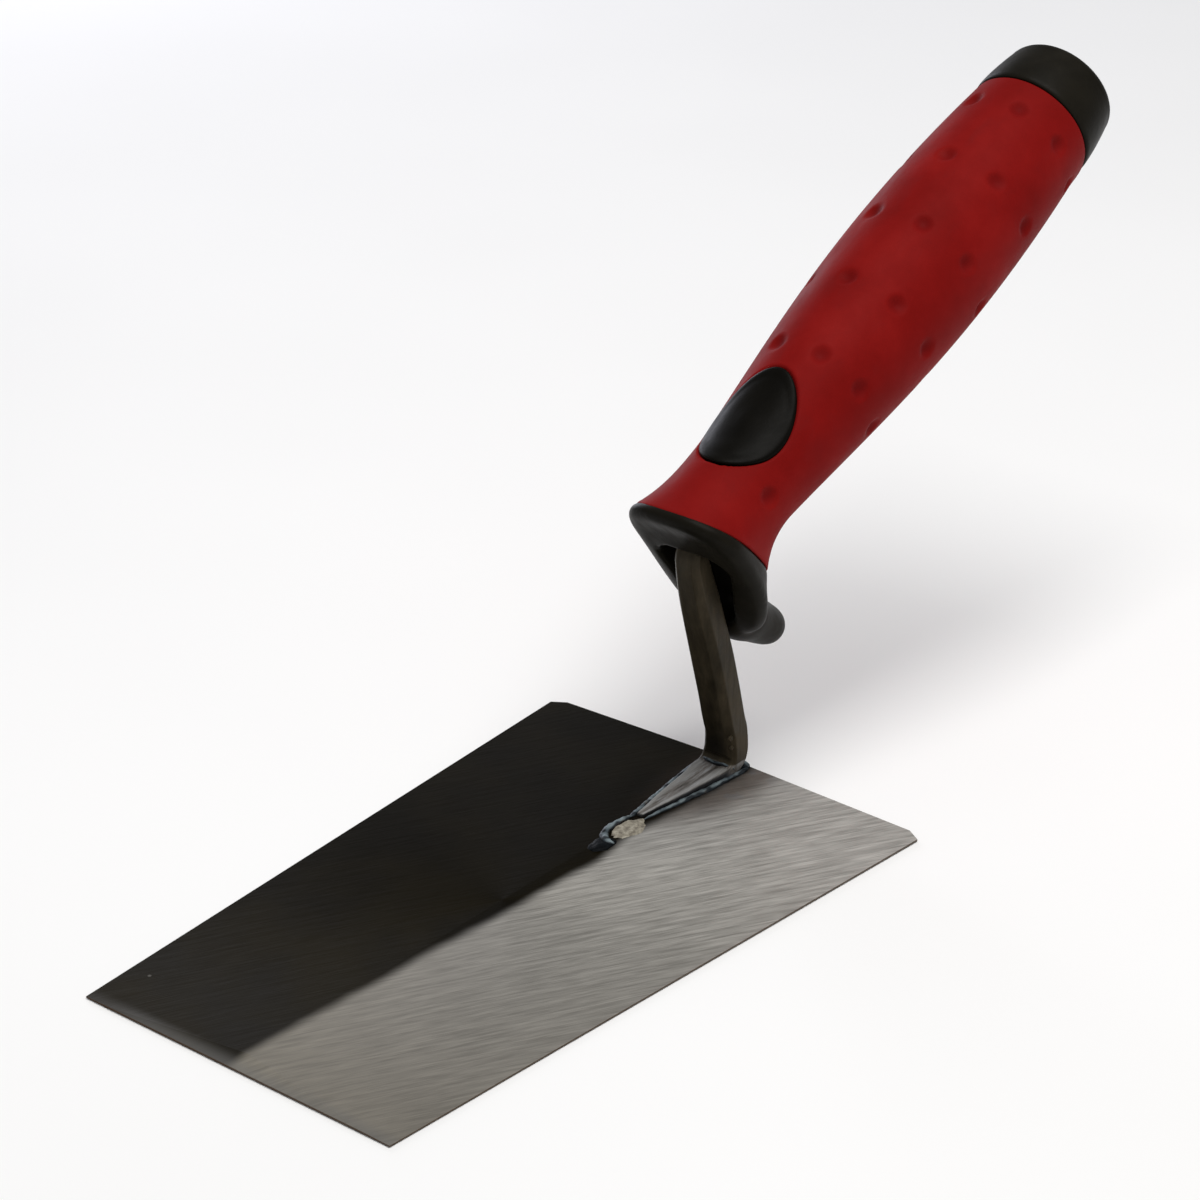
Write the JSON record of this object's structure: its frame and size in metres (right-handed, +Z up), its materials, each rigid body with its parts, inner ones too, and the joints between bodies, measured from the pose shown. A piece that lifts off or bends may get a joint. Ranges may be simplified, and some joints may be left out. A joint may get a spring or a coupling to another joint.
{
  "type": "margin trowel",
  "caption": "Masonry trowel: trapezoid steel blade, cranked welded tang, soft-grip handle with finger guard and end cap.",
  "frame": {"origin": "centre of the blade's flat working face, halfway between heel and toe on the centre line", "axes": "+X along the blade towards the toe, +Y towards the blade's left side, +Z up, away from the working face"},
  "size_m": [0.2546, 0.091, 0.1239],
  "materials": {
    "blade_steel": "ground, fine scratches across the blade",
    "forged_steel": "dark forged scale, satin",
    "weld_metal": "heat-tinted weld bead with scale",
    "core_plastic": "moulded",
    "red_grip": "satin soft-touch rubber",
    "black_grip": "satin soft-touch rubber"
  },
  "bodies": {
    "root": {"blade": "blade_steel", "tang": "forged_steel", "weld_left": "weld_metal", "weld_right": "weld_metal", "weld_heel": "weld_metal", "weld_toe": "weld_metal", "handle_core": "core_plastic", "grip_sleeve": "red_grip", "thumb_pad": "black_grip", "finger_guard": "black_grip", "end_cap": "black_grip"}
  },
  "joints": []
}
